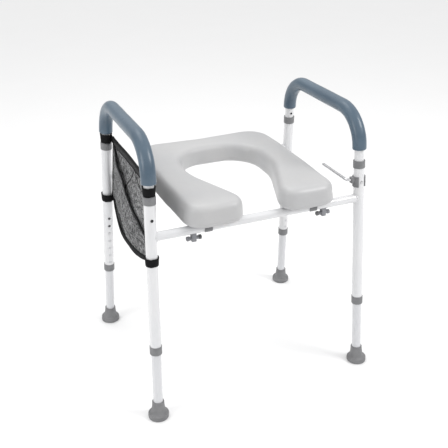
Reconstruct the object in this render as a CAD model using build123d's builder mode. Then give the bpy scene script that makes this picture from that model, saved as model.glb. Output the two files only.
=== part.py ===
"""Toilet safety frame: four splayed adjustable legs, two crossbars, two padded U handles,
a U-shaped padded seat clipped to the crossbars, bowl clamps, a roll holder and a mesh side bag.

Frame: millimetres, +Z up, origin on the floor under the middle, front of the seat towards -Y,
+X to the right as seen from the front. Suffixes: l/r = left/right, f/r = front/rear.
"""
import os
from math import cos, radians, sin, sqrt, tan

from build123d import *

os.makedirs("parts", exist_ok=True)

# Post axes, given where they cross the crossbar height; they splay downwards along straight lines.
RAIL_Z = 512.0
HALF_W = 290.0
HALF_D = 203.5
LEAN = radians(1.84)
TAN_X = tan(LEAN)
TAN_Y = tan(radians(4.57))
AXIS_COS = 1 / sqrt(1 + TAN_X**2 + TAN_Y**2)
CORNERS = {"lf": (-1, -1), "lr": (-1, 1), "rf": (1, -1), "rr": (1, 1)}

# Tubes
POST_R = 14.3
TUBE_R = 12.7
WALL = 1.2
RAIL_R = 11.1
POST_BOTTOM_Z = 195.0
POST_TOP_Z = 613.5
LEG_TOP_Z = 343.0
LEG_BOTTOM_Z = 12.0
HANDLE_BOTTOM_Z = 500.0
HANDLE_TOP_Z = 738.0
HANDLE_BEND_R = 90.0

# Collars, grips and feet
UPPER_COLLAR_Z = (596.5, 616.5)
LOWER_COLLAR_Z = (192.0, 214.5)
COLLAR_R = 15.8
LEG_CLEARANCE = 0.05
GRIP_R = 18.5
GRIP_BOTTOM_Z = 646.0
FOOT_R = 27.4
FOOT_TOP_Z = 47.5

# Height holes and spring buttons
HOLE_PITCH = 25.4
HOLE_COUNT = 7
LOWEST_HOLE_Z = 226.0
REST_HOLE = 4
POST_HOLE_R = 3.95
BUTTON_R = 3.65
BUTTON_CLEARANCE = 0.05
BUTTON_OUT = 16.3
BUTTON_FLANGE_R = 4.6
BUTTON_IN = (8.2, 9.9)
HANDLE_BUTTON_Z = 559.0
SPARE_HOLE_Z = 629.0
SPRING_T = 0.5
SPRING_W = 7.0

# Seat
SEAT_BOTTOM = RAIL_Z + RAIL_R + 3.0
SEAT_TOP = 582.0
BOARD_T = 9.0
SEAT_FRONT = -246.0
SEAT_REAR = 230.0
SEAT_HALF_W = 213.0
CLIP_X = 146.0
CLIP_W = 20.0
CLIP_T = 3.0

# Bowl clamps under the front crossbar
CLAMP_X = 182.0
CLAMP_BLOCK_W = 12.0
CLAMP_Z = 488.5
CLAMP_ROD_R = 5.0
KNOB_R = 5.9
PAD_R = 5.9

# Roll holder on the right front post
HOLDER_Z = (545.5, 573.5)
HOLDER_ROD_R = 4.0
HOLDER_ROD_Z = 566.0
HOLDER_ROD_X = 252.0
HOLDER_ROD_END_Y = -75.0

# Mesh bag between the left posts: offsets are measured inwards from the side plane
BAG_FACE = 12.5
BAG_T = 1.2
BAG_BULGE = 16.0
BAG_TOP_Z = 642.0
HEM_W = 12.0
RIM_W = 9.0


def axis_point(sx, sy, z):
    """Point on a post axis at height z."""
    return (sx * (HALF_W + (RAIL_Z - z) * TAN_X), sy * (HALF_D + (RAIL_Z - z) * TAN_Y), z)


def axis_plane(sx, sy, z):
    """Plane across a post at height z, local Z up the post, local X square to the side frame."""
    square = (cos(LEAN), 0, sx * sin(LEAN))
    return Plane(axis_point(sx, sy, z), x_dir=square, z_dir=(-sx * TAN_X, -sy * TAN_Y, 1))


def cross_plane(sx, sy, z, facing):
    """Plane on the post axis whose normal points sideways across it, towards facing (+1 rear, -1 front)."""
    across = axis_plane(sx, sy, z)
    return Plane(across.origin, x_dir=across.x_dir, z_dir=across.y_dir * facing)


def side_plane(sx, inwards=0.0):
    """Plane through both post axes of one side: local X is +Y, local Y runs up the leaning side."""
    normal = Vector(cos(LEAN), 0, sx * sin(LEAN))
    origin = Vector(sx * HALF_W, 0, RAIL_Z) - normal * (sx * inwards)
    return Plane(origin, x_dir=(0, 1, 0), z_dir=normal)


def side_y(w):
    """Distance of the post axes from the middle of the side plane at local height w."""
    return HALF_D - w * TAN_Y * cos(LEAN)


def height(z):
    """Local height in the side plane of a point at world height z."""
    return (z - RAIL_Z) / cos(LEAN)


def along(z0, z1):
    """Length along a post axis between two heights."""
    return (z1 - z0) / AXIS_COS


def save(part, name):
    part.label = name
    export_step(part, f"parts/{name}.step")


def handle_path(sx, bottom_z, inwards=0.0):
    """U path of a handle tube from the front leg's lower end to the rear leg's lower end."""
    low = height(bottom_z)
    top = height(HANDLE_TOP_Z)
    with BuildLine(side_plane(sx, inwards)) as line:
        FilletPolyline(
            (-side_y(low), low),
            (-side_y(top), top),
            (side_y(top), top),
            (side_y(low), low),
            radius=HANDLE_BEND_R,
        )
    return line.wires()[0]


def spring_outline():
    """V leaf spring in a plane across the tube: X towards the button, Y up, button centre at (0, 0)."""
    far = 10.94
    face = BUTTON_IN[0]
    return [
        (face, 5.0),
        (face, -5.5),
        (-2.6, -37.0),
        (-5.2, -39.4),
        (-8.2, -38.2),
        (-far, -28.0),
        (-far, 4.0),
        (-far + SPRING_T, 4.0),
        (-far + SPRING_T, -27.9),
        (-7.8, -37.6),
        (-5.3, -38.7),
        (-3.1, -36.7),
        (face - SPRING_T, -5.3),
        (face - SPRING_T, 5.0),
    ]


def make_button(plane):
    """Spring button on a plane whose normal points out of the tube through the button."""
    with BuildPart() as button:
        with BuildSketch(plane.offset(BUTTON_IN[0])):
            Circle(BUTTON_FLANGE_R)
        extrude(amount=BUTTON_IN[1] - BUTTON_IN[0])
        with BuildSketch(plane.offset(BUTTON_IN[1])):
            Circle(BUTTON_R)
        extrude(amount=BUTTON_OUT - BUTTON_IN[1])
        tip = button.faces().sort_by(Axis(plane.origin, plane.z_dir))[-1]
        fillet(tip.edges(), radius=1.4)
    return button.part


def make_spring(plane):
    """V leaf spring behind a button, given the button's plane; its bend hangs below the button."""
    upwards = plane.x_dir if plane.z_dir.cross(plane.x_dir).Z < 0 else -plane.x_dir
    with BuildPart() as spring:
        with BuildSketch(Plane(plane.origin, x_dir=plane.z_dir, z_dir=upwards)):
            with BuildLine():
                Polyline(*spring_outline(), close=True)
            make_face()
        extrude(amount=SPRING_W / 2, both=True)
    return spring.part


# ---- Posts: upper tubes with seven height holes facing inwards and one button hole facing outwards
for tag, (sx, sy) in CORNERS.items():
    with BuildPart() as post:
        with BuildSketch(axis_plane(sx, sy, POST_BOTTOM_Z)):
            Circle(POST_R)
            Circle(POST_R - WALL, mode=Mode.SUBTRACT)
        extrude(amount=along(POST_BOTTOM_Z, POST_TOP_Z))
        for k in range(HOLE_COUNT):
            z = LOWEST_HOLE_Z + k * HOLE_PITCH * AXIS_COS
            with BuildSketch(cross_plane(sx, sy, z, -sy)):
                Circle(POST_HOLE_R)
            extrude(amount=POST_R + 2, mode=Mode.SUBTRACT)
        with BuildSketch(cross_plane(sx, sy, HANDLE_BUTTON_Z, sy)):
            Circle(POST_HOLE_R)
        extrude(amount=POST_R + 2, mode=Mode.SUBTRACT)
    save(post.part, f"post_{tag}")

# ---- Crossbars, coped to the posts
for name, sy in (("rail_front", -1), ("rail_rear", 1)):
    with BuildPart() as rail:
        with BuildSketch(Plane((-HALF_W, sy * HALF_D, RAIL_Z), x_dir=(0, 1, 0), z_dir=(1, 0, 0))):
            Circle(RAIL_R)
            Circle(RAIL_R - WALL, mode=Mode.SUBTRACT)
        extrude(amount=2 * HALF_W)
        for sx in (-1, 1):
            with BuildSketch(axis_plane(sx, sy, RAIL_Z - 40)):
                Circle(POST_R)
            extrude(amount=80, mode=Mode.SUBTRACT)
    save(rail.part, name)

# ---- Collars: upper ones cap the posts around the handle tubes, lower ones guide the legs
for tag, (sx, sy) in CORNERS.items():
    z0, z1 = UPPER_COLLAR_Z
    with BuildPart() as upper:
        with BuildSketch(axis_plane(sx, sy, z0)):
            Circle(COLLAR_R)
        extrude(amount=along(z0, z1))
        with BuildSketch(axis_plane(sx, sy, z0)):
            Circle(POST_R)
        extrude(amount=along(z0, POST_TOP_Z), mode=Mode.SUBTRACT)
        with BuildSketch(axis_plane(sx, sy, z0)):
            Circle(TUBE_R)
        extrude(amount=along(z0, z1), mode=Mode.SUBTRACT)
        rims = edges().filter_by(GeomType.CIRCLE).filter_by(lambda e: abs(e.radius - COLLAR_R) < 0.01)
        fillet(rims, radius=0.8)
    save(upper.part, f"upper_collar_{tag}")

    z0, z1 = LOWER_COLLAR_Z
    with BuildPart() as lower:
        with BuildSketch(axis_plane(sx, sy, z0)):
            Circle(COLLAR_R)
        extrude(amount=along(z0, z1))
        with BuildSketch(axis_plane(sx, sy, POST_BOTTOM_Z)):
            Circle(POST_R)
        extrude(amount=along(POST_BOTTOM_Z, z1), mode=Mode.SUBTRACT)
        with BuildSketch(axis_plane(sx, sy, z0)):
            Circle(TUBE_R + LEG_CLEARANCE)
        extrude(amount=along(z0, z1), mode=Mode.SUBTRACT)
        rims = edges().filter_by(GeomType.CIRCLE).filter_by(lambda e: abs(e.radius - COLLAR_R) < 0.01)
        fillet(rims, radius=0.8)
    save(lower.part, f"lower_collar_{tag}")

# ---- Legs, feet, leg buttons and their leaf springs
REST_Z = LOWEST_HOLE_Z + REST_HOLE * HOLE_PITCH * AXIS_COS
for tag, (sx, sy) in CORNERS.items():
    with BuildPart() as leg:
        with BuildSketch(axis_plane(sx, sy, LEG_BOTTOM_Z)):
            Circle(TUBE_R)
            Circle(TUBE_R - WALL, mode=Mode.SUBTRACT)
        extrude(amount=along(LEG_BOTTOM_Z, LEG_TOP_Z))
        with BuildSketch(cross_plane(sx, sy, REST_Z, -sy)):
            Circle(BUTTON_R + BUTTON_CLEARANCE)
        extrude(amount=TUBE_R + 2, mode=Mode.SUBTRACT)
    save(leg.part, f"leg_{tag}")

    with BuildPart() as foot:
        base = axis_plane(sx, sy, 0)
        with BuildSketch(Plane(base.origin, x_dir=base.x_dir, z_dir=base.y_dir * -1)):
            with BuildLine():
                Polyline(
                    (0, -4),
                    (FOOT_R, -4),
                    (FOOT_R, 8.0),
                    (FOOT_R - 2.6, 11.6),
                    (FOOT_R - 5.4, 12.2),
                    (20.4, 15.0),
                    (16.6, along(0, FOOT_TOP_Z) - 1.0),
                    (15.8, along(0, FOOT_TOP_Z)),
                    (TUBE_R, along(0, FOOT_TOP_Z)),
                    (TUBE_R, along(0, LEG_BOTTOM_Z)),
                    (0, along(0, LEG_BOTTOM_Z)),
                    close=True,
                )
            make_face()
        revolve(axis=Axis(base.origin, base.z_dir))
        with BuildSketch(Plane(axis_point(sx, sy, 0))):
            Rectangle(120, 120)
        extrude(amount=-20, mode=Mode.SUBTRACT)
    save(foot.part, f"foot_{tag}")

    save(make_button(cross_plane(sx, sy, REST_Z, -sy)), f"leg_button_{tag}")
    save(make_spring(cross_plane(sx, sy, REST_Z, -sy)), f"leg_spring_{tag}")
    save(make_button(cross_plane(sx, sy, HANDLE_BUTTON_Z, sy)), f"handle_button_{tag}")

# ---- Handles: U tubes, their foam grips and the leaf springs inside them
for side, sx in (("l", -1), ("r", 1)):
    path = handle_path(sx, HANDLE_BOTTOM_Z)
    start = Plane(origin=path @ 0, z_dir=path % 0)
    with BuildPart() as handle:
        with BuildSketch(start):
            Circle(TUBE_R)
        sweep(path=path)
        with BuildSketch(start):
            Circle(TUBE_R - WALL)
        sweep(path=path, mode=Mode.SUBTRACT)
        for sy in (-1, 1):
            with BuildSketch(cross_plane(sx, sy, HANDLE_BUTTON_Z, sy)):
                Circle(BUTTON_R + BUTTON_CLEARANCE)
            extrude(amount=TUBE_R + 2, mode=Mode.SUBTRACT)
            with BuildSketch(cross_plane(sx, sy, SPARE_HOLE_Z, -sy)):
                Circle(BUTTON_R + BUTTON_CLEARANCE)
            extrude(amount=TUBE_R + 2, mode=Mode.SUBTRACT)
    save(handle.part, f"handle_{side}")

    path = handle_path(sx, GRIP_BOTTOM_Z)
    start = Plane(origin=path @ 0, z_dir=path % 0)
    with BuildPart() as grip:
        with BuildSketch(start):
            Circle(GRIP_R)
        sweep(path=path)
        with BuildSketch(start):
            Circle(TUBE_R)
        sweep(path=path, mode=Mode.SUBTRACT)
        ends = edges().filter_by(GeomType.CIRCLE).filter_by(lambda e: abs(e.radius - GRIP_R) < 0.01)
        ends = ends.sort_by(Axis.Z)[0:2]
        fillet(ends, radius=2.5)
    save(grip.part, f"grip_{side}")

    with BuildPart() as handle_spring:
        for sy in (-1, 1):
            add(make_spring(cross_plane(sx, sy, HANDLE_BUTTON_Z, sy)))
    save(handle_spring.part, f"handle_spring_{side}")

# ---- Seat: board, U-shaped cushion, clips over the crossbars and their screws
OUTLINE = [
    (-206, SEAT_FRONT),
    (-SEAT_HALF_W, -60),
    (-SEAT_HALF_W, 90),
    (-204, SEAT_REAR),
    (204, SEAT_REAR),
    (SEAT_HALF_W, 90),
    (SEAT_HALF_W, -60),
    (206, SEAT_FRONT),
]
OPENING_HALF_W = 112.0
OPENING_REAR = 134.0
LOBE_INNER_X = 52.0
CLIP_PLACES = [(x, sy) for sy in (-1, 1) for x in (-CLIP_X, CLIP_X)]
SCREW_IN = 26.0


def seat_face(inset):
    """U-shaped seat outline, moved inwards by inset all round."""
    with BuildSketch(Plane.XY.offset(SEAT_BOTTOM)) as face:
        with BuildLine():
            Polyline(*OUTLINE, close=True)
        make_face()
        fillet([v for v in face.vertices() if abs(v.Y - SEAT_FRONT) < 1], radius=48)
        fillet([v for v in face.vertices() if abs(v.Y - SEAT_REAR) < 1], radius=72)
        fillet([v for v in face.vertices() if abs(abs(v.X) - SEAT_HALF_W) < 0.5], radius=500)
        with BuildSketch(mode=Mode.SUBTRACT) as opening:
            with BuildLine():
                Polyline(
                    (LOBE_INNER_X, SEAT_FRONT - 20),
                    (LOBE_INNER_X, -192),
                    (OPENING_HALF_W, -24),
                    (OPENING_HALF_W, OPENING_REAR),
                    (-OPENING_HALF_W, OPENING_REAR),
                    (-OPENING_HALF_W, -24),
                    (-LOBE_INNER_X, -192),
                    (-LOBE_INNER_X, SEAT_FRONT - 20),
                    close=True,
                )
            make_face()
            fillet([v for v in opening.vertices() if abs(v.Y - OPENING_REAR) < 1], radius=90)
            fillet([v for v in opening.vertices() if abs(v.Y + 24) < 1], radius=220)
            fillet([v for v in opening.vertices() if abs(v.Y + 192) < 1], radius=60)
        tips = [
            v
            for v in face.vertices()
            if abs(abs(v.X) - LOBE_INNER_X) < 0.5 and abs(v.Y - SEAT_FRONT) < 0.5
        ]
        fillet(tips, radius=40)
        if inset:
            offset(amount=-inset, mode=Mode.REPLACE)
    return face.sketch


with BuildPart() as board:
    add(seat_face(14))
    extrude(amount=BOARD_T)
    for x, sy in CLIP_PLACES:
        with BuildSketch(Plane((x, sy * (HALF_D - SCREW_IN), SEAT_BOTTOM))):
            Circle(2.0)
        extrude(amount=6.5, mode=Mode.SUBTRACT)
save(board.part, "seat_board")

with BuildPart() as cushion:
    add(seat_face(0))
    extrude(amount=SEAT_TOP - SEAT_BOTTOM)
    fillet(cushion.faces().sort_by(Axis.Z)[-1].edges(), radius=22)
    fillet(cushion.faces().sort_by(Axis.Z)[0].edges(), radius=8)
    add(seat_face(14))
    extrude(amount=BOARD_T, mode=Mode.SUBTRACT)
save(cushion.part, "seat_cushion")

for name, sy in (("seat_clips_front", -1), ("seat_clips_rear", 1)):
    with BuildPart() as clips:
        for x in (-CLIP_X, CLIP_X):
            with BuildSketch(Plane((x, sy * HALF_D, RAIL_Z), x_dir=(0, 1, 0), z_dir=(1, 0, 0))):
                Circle(RAIL_R + CLIP_T)
                with Locations((-sy * 17, RAIL_R + CLIP_T / 2)):
                    Rectangle(36, CLIP_T)
                Circle(RAIL_R, mode=Mode.SUBTRACT)
                with BuildLine():
                    Polyline((0, 0), (-24, -17), (24, -17), close=True)
                make_face(mode=Mode.SUBTRACT)
            extrude(amount=CLIP_W / 2, both=True)
            with BuildSketch(Plane((x, sy * (HALF_D - SCREW_IN), RAIL_Z))):
                Circle(2.2)
            extrude(amount=30, mode=Mode.SUBTRACT)
    save(clips.part, name)

with BuildPart() as clip_screws:
    for x, sy in CLIP_PLACES:
        head = Plane((x, sy * (HALF_D - SCREW_IN), SEAT_BOTTOM - CLIP_T - 2.2))
        with BuildSketch(head):
            Circle(4.0)
        extrude(amount=2.2)
        with BuildSketch(head.offset(2.2)):
            Circle(2.0)
        extrude(amount=CLIP_T + 6.5)
save(clip_screws.part, "clip_screws")

# ---- Bowl clamps: block under the front crossbar, thumb screw through it, pad on the inner end
for side, sx in (("l", -1), ("r", 1)):
    inward = Plane((sx * CLAMP_X, -HALF_D, CLAMP_Z), x_dir=(0, 1, 0), z_dir=(-sx, 0, 0))
    half = CLAMP_BLOCK_W / 2
    with BuildPart() as bracket:
        with BuildSketch(Plane((sx * CLAMP_X, -HALF_D, CLAMP_Z - 7.5))):
            RectangleRounded(CLAMP_BLOCK_W, 15, 2)
        extrude(amount=23)
        with BuildSketch(Plane((sx * CLAMP_X, -HALF_D, RAIL_Z), x_dir=(0, 1, 0), z_dir=(1, 0, 0))):
            Circle(RAIL_R)
        extrude(amount=CLAMP_BLOCK_W, both=True, mode=Mode.SUBTRACT)
        with BuildSketch(inward):
            Circle(CLAMP_ROD_R + 0.06)
        extrude(amount=CLAMP_BLOCK_W, both=True, mode=Mode.SUBTRACT)
    save(bracket.part, f"clamp_bracket_{side}")

    with BuildPart() as screw:
        with BuildSketch(inward.offset(-half - 12.5)):
            Circle(KNOB_R)
            with PolarLocations(KNOB_R + 0.5, 10):
                Circle(1.1, mode=Mode.SUBTRACT)
        extrude(amount=7.5)
        with BuildSketch(inward.offset(-half - 5)):
            Circle(CLAMP_ROD_R)
        extrude(amount=CLAMP_BLOCK_W + 13)
        with BuildSketch(inward.offset(half + 8)):
            Circle(3.0)
        extrude(amount=3.5)
    save(screw.part, f"clamp_screw_{side}")

    with BuildPart() as pad:
        with BuildSketch(inward.offset(half + 8)):
            Circle(PAD_R)
        extrude(amount=6.5)
        with BuildSketch(inward.offset(half + 8)):
            Circle(3.05)
        extrude(amount=3.6, mode=Mode.SUBTRACT)
        fillet(pad.edges().filter_by(GeomType.CIRCLE).sort_by(Axis(inward.origin, inward.z_dir))[-1], radius=1.2)
    save(pad.part, f"clamp_pad_{side}")

# ---- Roll holder: snap clip around the right front post and a bent rod running back from it
z0, z1 = HOLDER_Z
with BuildPart() as holder_clip:
    with BuildSketch(axis_plane(1, -1, z0)):
        Circle(POST_R + 3)
        Circle(POST_R, mode=Mode.SUBTRACT)
        with BuildLine():
            Polyline((0, 0), (-19.6, -30.2), (25.2, -30.0), close=True)
        make_face(mode=Mode.SUBTRACT)
    extrude(amount=along(z0, z1))
    with BuildSketch(axis_plane(1, -1, HOLDER_ROD_Z - 8)):
        with Locations((-POST_R - 5.5, 0)):
            RectangleRounded(12, 13, 1.5)
    extrude(amount=along(0, 15))
    with BuildSketch(axis_plane(1, -1, HOLDER_ROD_Z - 9)):
        Circle(POST_R)
    extrude(amount=along(0, 18), mode=Mode.SUBTRACT)
    rod_y = axis_point(1, -1, HOLDER_ROD_Z)[1]
    with BuildSketch(Plane((HOLDER_ROD_X, rod_y, HOLDER_ROD_Z), x_dir=(0, 1, 0), z_dir=(1, 0, 0))):
        Circle(HOLDER_ROD_R)
    extrude(amount=17, mode=Mode.SUBTRACT)
save(holder_clip.part, "holder_clip")

with BuildPart() as holder_rod:
    with BuildLine(Plane.XY.offset(HOLDER_ROD_Z)) as bend:
        FilletPolyline(
            (HOLDER_ROD_X + 17, rod_y),
            (HOLDER_ROD_X, rod_y),
            (HOLDER_ROD_X, HOLDER_ROD_END_Y),
            radius=10,
        )
    with BuildSketch(Plane(origin=bend.wires()[0] @ 0, z_dir=bend.wires()[0] % 0)):
        Circle(HOLDER_ROD_R)
    sweep(path=bend.wires()[0])
    fillet(holder_rod.faces().sort_by(Axis.Y)[-1].edges(), radius=2.5)
save(holder_rod.part, "holder_rod")

# ---- Mesh bag on the left side: back panel, bulging front panel with a slanting rim, gusset, straps
WALL_EDGE = -24.0
BACK_EDGE = -14.0
TOP_EDGE = -34.0
RIM = [(150, 622), (92, 596), (26, 571), (-19, 543), (-54, 520), (-95, 508), (-121, 495)]
RIM_ENDS_Z = (634, 470)
SAG = [(160, 428), (116, 398), (48, 382), (-49, 388), (-131, 411)]


def bag_curve(points, rear_z, front_z, edge, drop=0.0):
    """Points across the bag from rear to front in side-plane coordinates, moved down by drop."""
    w0 = height(rear_z) - drop
    w1 = height(front_z) - drop
    middle = [(y, height(z) - drop) for y, z in points]
    return [(side_y(w0) + edge, w0), *middle, (-side_y(w1) - edge, w1)]


def panel_face(plane, upper, lower):
    """Face between two curves running from the rear edge to the front edge of the bag."""
    with BuildSketch(plane) as face:
        with BuildLine():
            top = Spline(*upper) if len(upper) > 2 else Line(*upper)
            bottom = Spline(*lower) if len(lower) > 2 else Line(*lower)
            Line(top @ 0, bottom @ 0)
            Line(top @ 1, bottom @ 1)
        make_face()
    return face.sketch


def wall_section(z, inner):
    """Section across the side plane at height z: the bulging wall, or the whole space behind it."""
    w = height(z)
    reach = side_y(w) + WALL_EDGE - 20 * (z - 350) / 310
    side = side_plane(-1)
    level = Plane(side.from_local_coords((0, w, 0)), x_dir=(0, 1, 0), z_dir=side.y_dir)
    with BuildSketch(level) as section:
        with BuildLine():
            if inner:
                ThreePointArc((-reach, -BAG_FACE), (0, BAG_BULGE - BAG_FACE), (reach, -BAG_FACE))
            else:
                Line((-reach, -BAG_FACE), (reach, -BAG_FACE))
            Line((reach, -BAG_FACE), (reach, BAG_T - BAG_FACE))
            ThreePointArc(
                (reach, BAG_T - BAG_FACE),
                (0, BAG_BULGE + BAG_T - BAG_FACE),
                (-reach, BAG_T - BAG_FACE),
            )
            Line((-reach, BAG_T - BAG_FACE), (-reach, -BAG_FACE))
        make_face()
    return section.sketch


side_in = side_plane(-1, BAG_FACE)
hem_line = bag_curve([], BAG_TOP_Z, BAG_TOP_Z, TOP_EDGE)
hem_low = bag_curve([], BAG_TOP_Z, BAG_TOP_Z, TOP_EDGE, HEM_W)
back_low = bag_curve(SAG, 447, 447, BACK_EDGE, 3.0)
rim_line = bag_curve(RIM, *RIM_ENDS_Z, WALL_EDGE)
rim_low = bag_curve(RIM, *RIM_ENDS_Z, WALL_EDGE, RIM_W)
sag_line = bag_curve(SAG, 447, 447, WALL_EDGE)
sag_low = bag_curve(SAG, 447, 447, WALL_EDGE, BAG_T)

with BuildPart() as bag_back:
    extrude(panel_face(side_in, hem_low, back_low), amount=BAG_T, dir=side_in.z_dir)
save(bag_back.part, "bag_back")

with BuildPart() as bag_hem:
    extrude(panel_face(side_in, hem_line, hem_low), amount=BAG_T + 0.6, dir=side_in.z_dir)
save(bag_hem.part, "bag_hem")

WALL_PIECES = (
    ("bag_rim", rim_line, rim_low, True),
    ("bag_front", rim_low, sag_line, True),
    ("bag_gusset", sag_line, sag_low, False),
)
for name, upper, lower, inner in WALL_PIECES:
    with BuildPart() as wall:
        add(wall_section(350, inner))
        add(wall_section(660, inner))
        loft()
        cut = panel_face(side_plane(-1, BAG_FACE + 20), upper, lower)
        extrude(cut, amount=90, dir=side_in.z_dir * -1, mode=Mode.INTERSECT)
    save(wall.part, name)

STRAPS = (
    (-1, 617.2, 640.0, TUBE_R, 16.2, 36.0),
    (1, 617.2, 640.0, TUBE_R, 16.2, 36.0),
    (-1, 439.5, 461.0, POST_R, 17.2, 22.0),
    (1, 435.0, 457.0, POST_R, 17.2, 22.0),
)
with BuildPart() as bag_straps:
    for sy, low, high, bore, outer, tab in STRAPS:
        level = axis_plane(-1, sy, low)
        with BuildSketch(level):
            Circle(outer)
            with Locations((BAG_FACE / 2 + 1, -sy * (tab + 10) / 2)):
                Rectangle(BAG_FACE - 2, tab - 10)
            Circle(bore, mode=Mode.SUBTRACT)
        extrude(amount=along(low, high))
save(bag_straps.part, "bag_straps")
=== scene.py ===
"""Visual model of the toilet safety frame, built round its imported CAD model."""
import math

import bmesh
import bpy
import numpy as np
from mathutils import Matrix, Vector, noise


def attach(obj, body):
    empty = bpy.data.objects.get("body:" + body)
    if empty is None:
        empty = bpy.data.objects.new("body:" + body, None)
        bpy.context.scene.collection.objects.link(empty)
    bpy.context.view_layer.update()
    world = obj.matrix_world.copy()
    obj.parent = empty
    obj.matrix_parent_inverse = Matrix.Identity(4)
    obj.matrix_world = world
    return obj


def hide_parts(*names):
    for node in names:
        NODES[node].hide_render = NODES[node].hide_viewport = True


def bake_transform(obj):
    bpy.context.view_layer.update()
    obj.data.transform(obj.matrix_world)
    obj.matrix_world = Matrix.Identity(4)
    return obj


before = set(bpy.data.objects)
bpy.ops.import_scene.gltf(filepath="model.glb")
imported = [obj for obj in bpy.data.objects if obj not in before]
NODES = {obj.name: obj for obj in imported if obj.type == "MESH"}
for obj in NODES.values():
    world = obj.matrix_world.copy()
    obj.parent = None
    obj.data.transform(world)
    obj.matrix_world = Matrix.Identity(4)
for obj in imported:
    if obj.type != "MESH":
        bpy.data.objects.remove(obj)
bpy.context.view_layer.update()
SCENE = bpy.context.scene
TAU = 2 * math.pi
MM = 1e-3


# ---- Dimensions repeated from the CAD source, in metres
RAIL_Z = 0.512
HALF_W = 0.290
HALF_D = 0.2035
LEAN = math.radians(1.84)
TAN_X = math.tan(LEAN)
TAN_Y = math.tan(math.radians(4.57))
AXIS_COS = 1 / math.sqrt(1 + TAN_X**2 + TAN_Y**2)
CORNERS = {"lf": (-1, -1), "lr": (-1, 1), "rf": (1, -1), "rr": (1, 1)}
POST_R = 0.0143
TUBE_R = 0.0127
RAIL_R = 0.0111
HANDLE_TOP_Z = 0.738
HANDLE_BEND_R = 0.090
GRIP_R = 0.0185
GRIP_BOTTOM_Z = 0.646
SEAT_BOTTOM = 0.5261
SEAT_TOP = 0.582
PARTING_Z = 0.5405  # mould line round the cushion
CLAMP_X = 0.182
CLAMP_Z = 0.4885
CLOTH_T = 0.0008
BAG_FACE = 0.0125
BAG_BULGE = 0.016
BAG_TOP_Z = 0.642
WALL_EDGE = -0.024
BACK_EDGE = -0.014
TOP_EDGE = -0.034
# the bag's slanting rim and its lower line, as (y, z) from rear to front
RIM = [(0.150, 0.622), (0.092, 0.596), (0.026, 0.571), (-0.019, 0.543), (-0.054, 0.520)]
RIM += [(-0.095, 0.508), (-0.121, 0.495)]
SAG = [(0.160, 0.428), (0.116, 0.401), (0.048, 0.388), (-0.049, 0.395), (-0.131, 0.417)]
RIM_ENDS_Z = (0.634, 0.470)
SAG_ENDS_Z = (0.447, 0.447)


def axis_point(sx, sy, z):
    """Point on a post axis at height z."""
    return Vector((sx * (HALF_W + (RAIL_Z - z) * TAN_X), sy * (HALF_D + (RAIL_Z - z) * TAN_Y), z))


def axis_frame(sx, sy, z):
    """Origin and X, Y, Z directions of the plane across a post at height z."""
    up = Vector((-sx * TAN_X, -sy * TAN_Y, 1)).normalized()
    across = Vector((math.cos(LEAN), 0, sx * math.sin(LEAN)))
    return axis_point(sx, sy, z), across, up.cross(across), up


def side_point(sx, y, w, n=0.0):
    """Point in a side frame's plane: y along it, w up it from crossbar height, n inwards from it."""
    return Vector(
        (
            sx * (HALF_W - w * math.sin(LEAN) - n * math.cos(LEAN)),
            y,
            RAIL_Z + w * math.cos(LEAN) - n * math.sin(LEAN),
        )
    )


def height(z):
    """Height up the leaning side plane of world height z."""
    return (z - RAIL_Z) / math.cos(LEAN)


def side_y(w):
    """Distance of the post axes from the middle of the side, at height w up it."""
    return HALF_D - w * TAN_Y * math.cos(LEAN)


def smooth(t):
    """Eased step from 0 to 1."""
    t = min(1.0, max(0.0, t))
    return t * t * (3 - 2 * t)


def in_metres(profile):
    """A profile written in millimetres."""
    return [(r * MM, h * MM) for r, h in profile]


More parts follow.
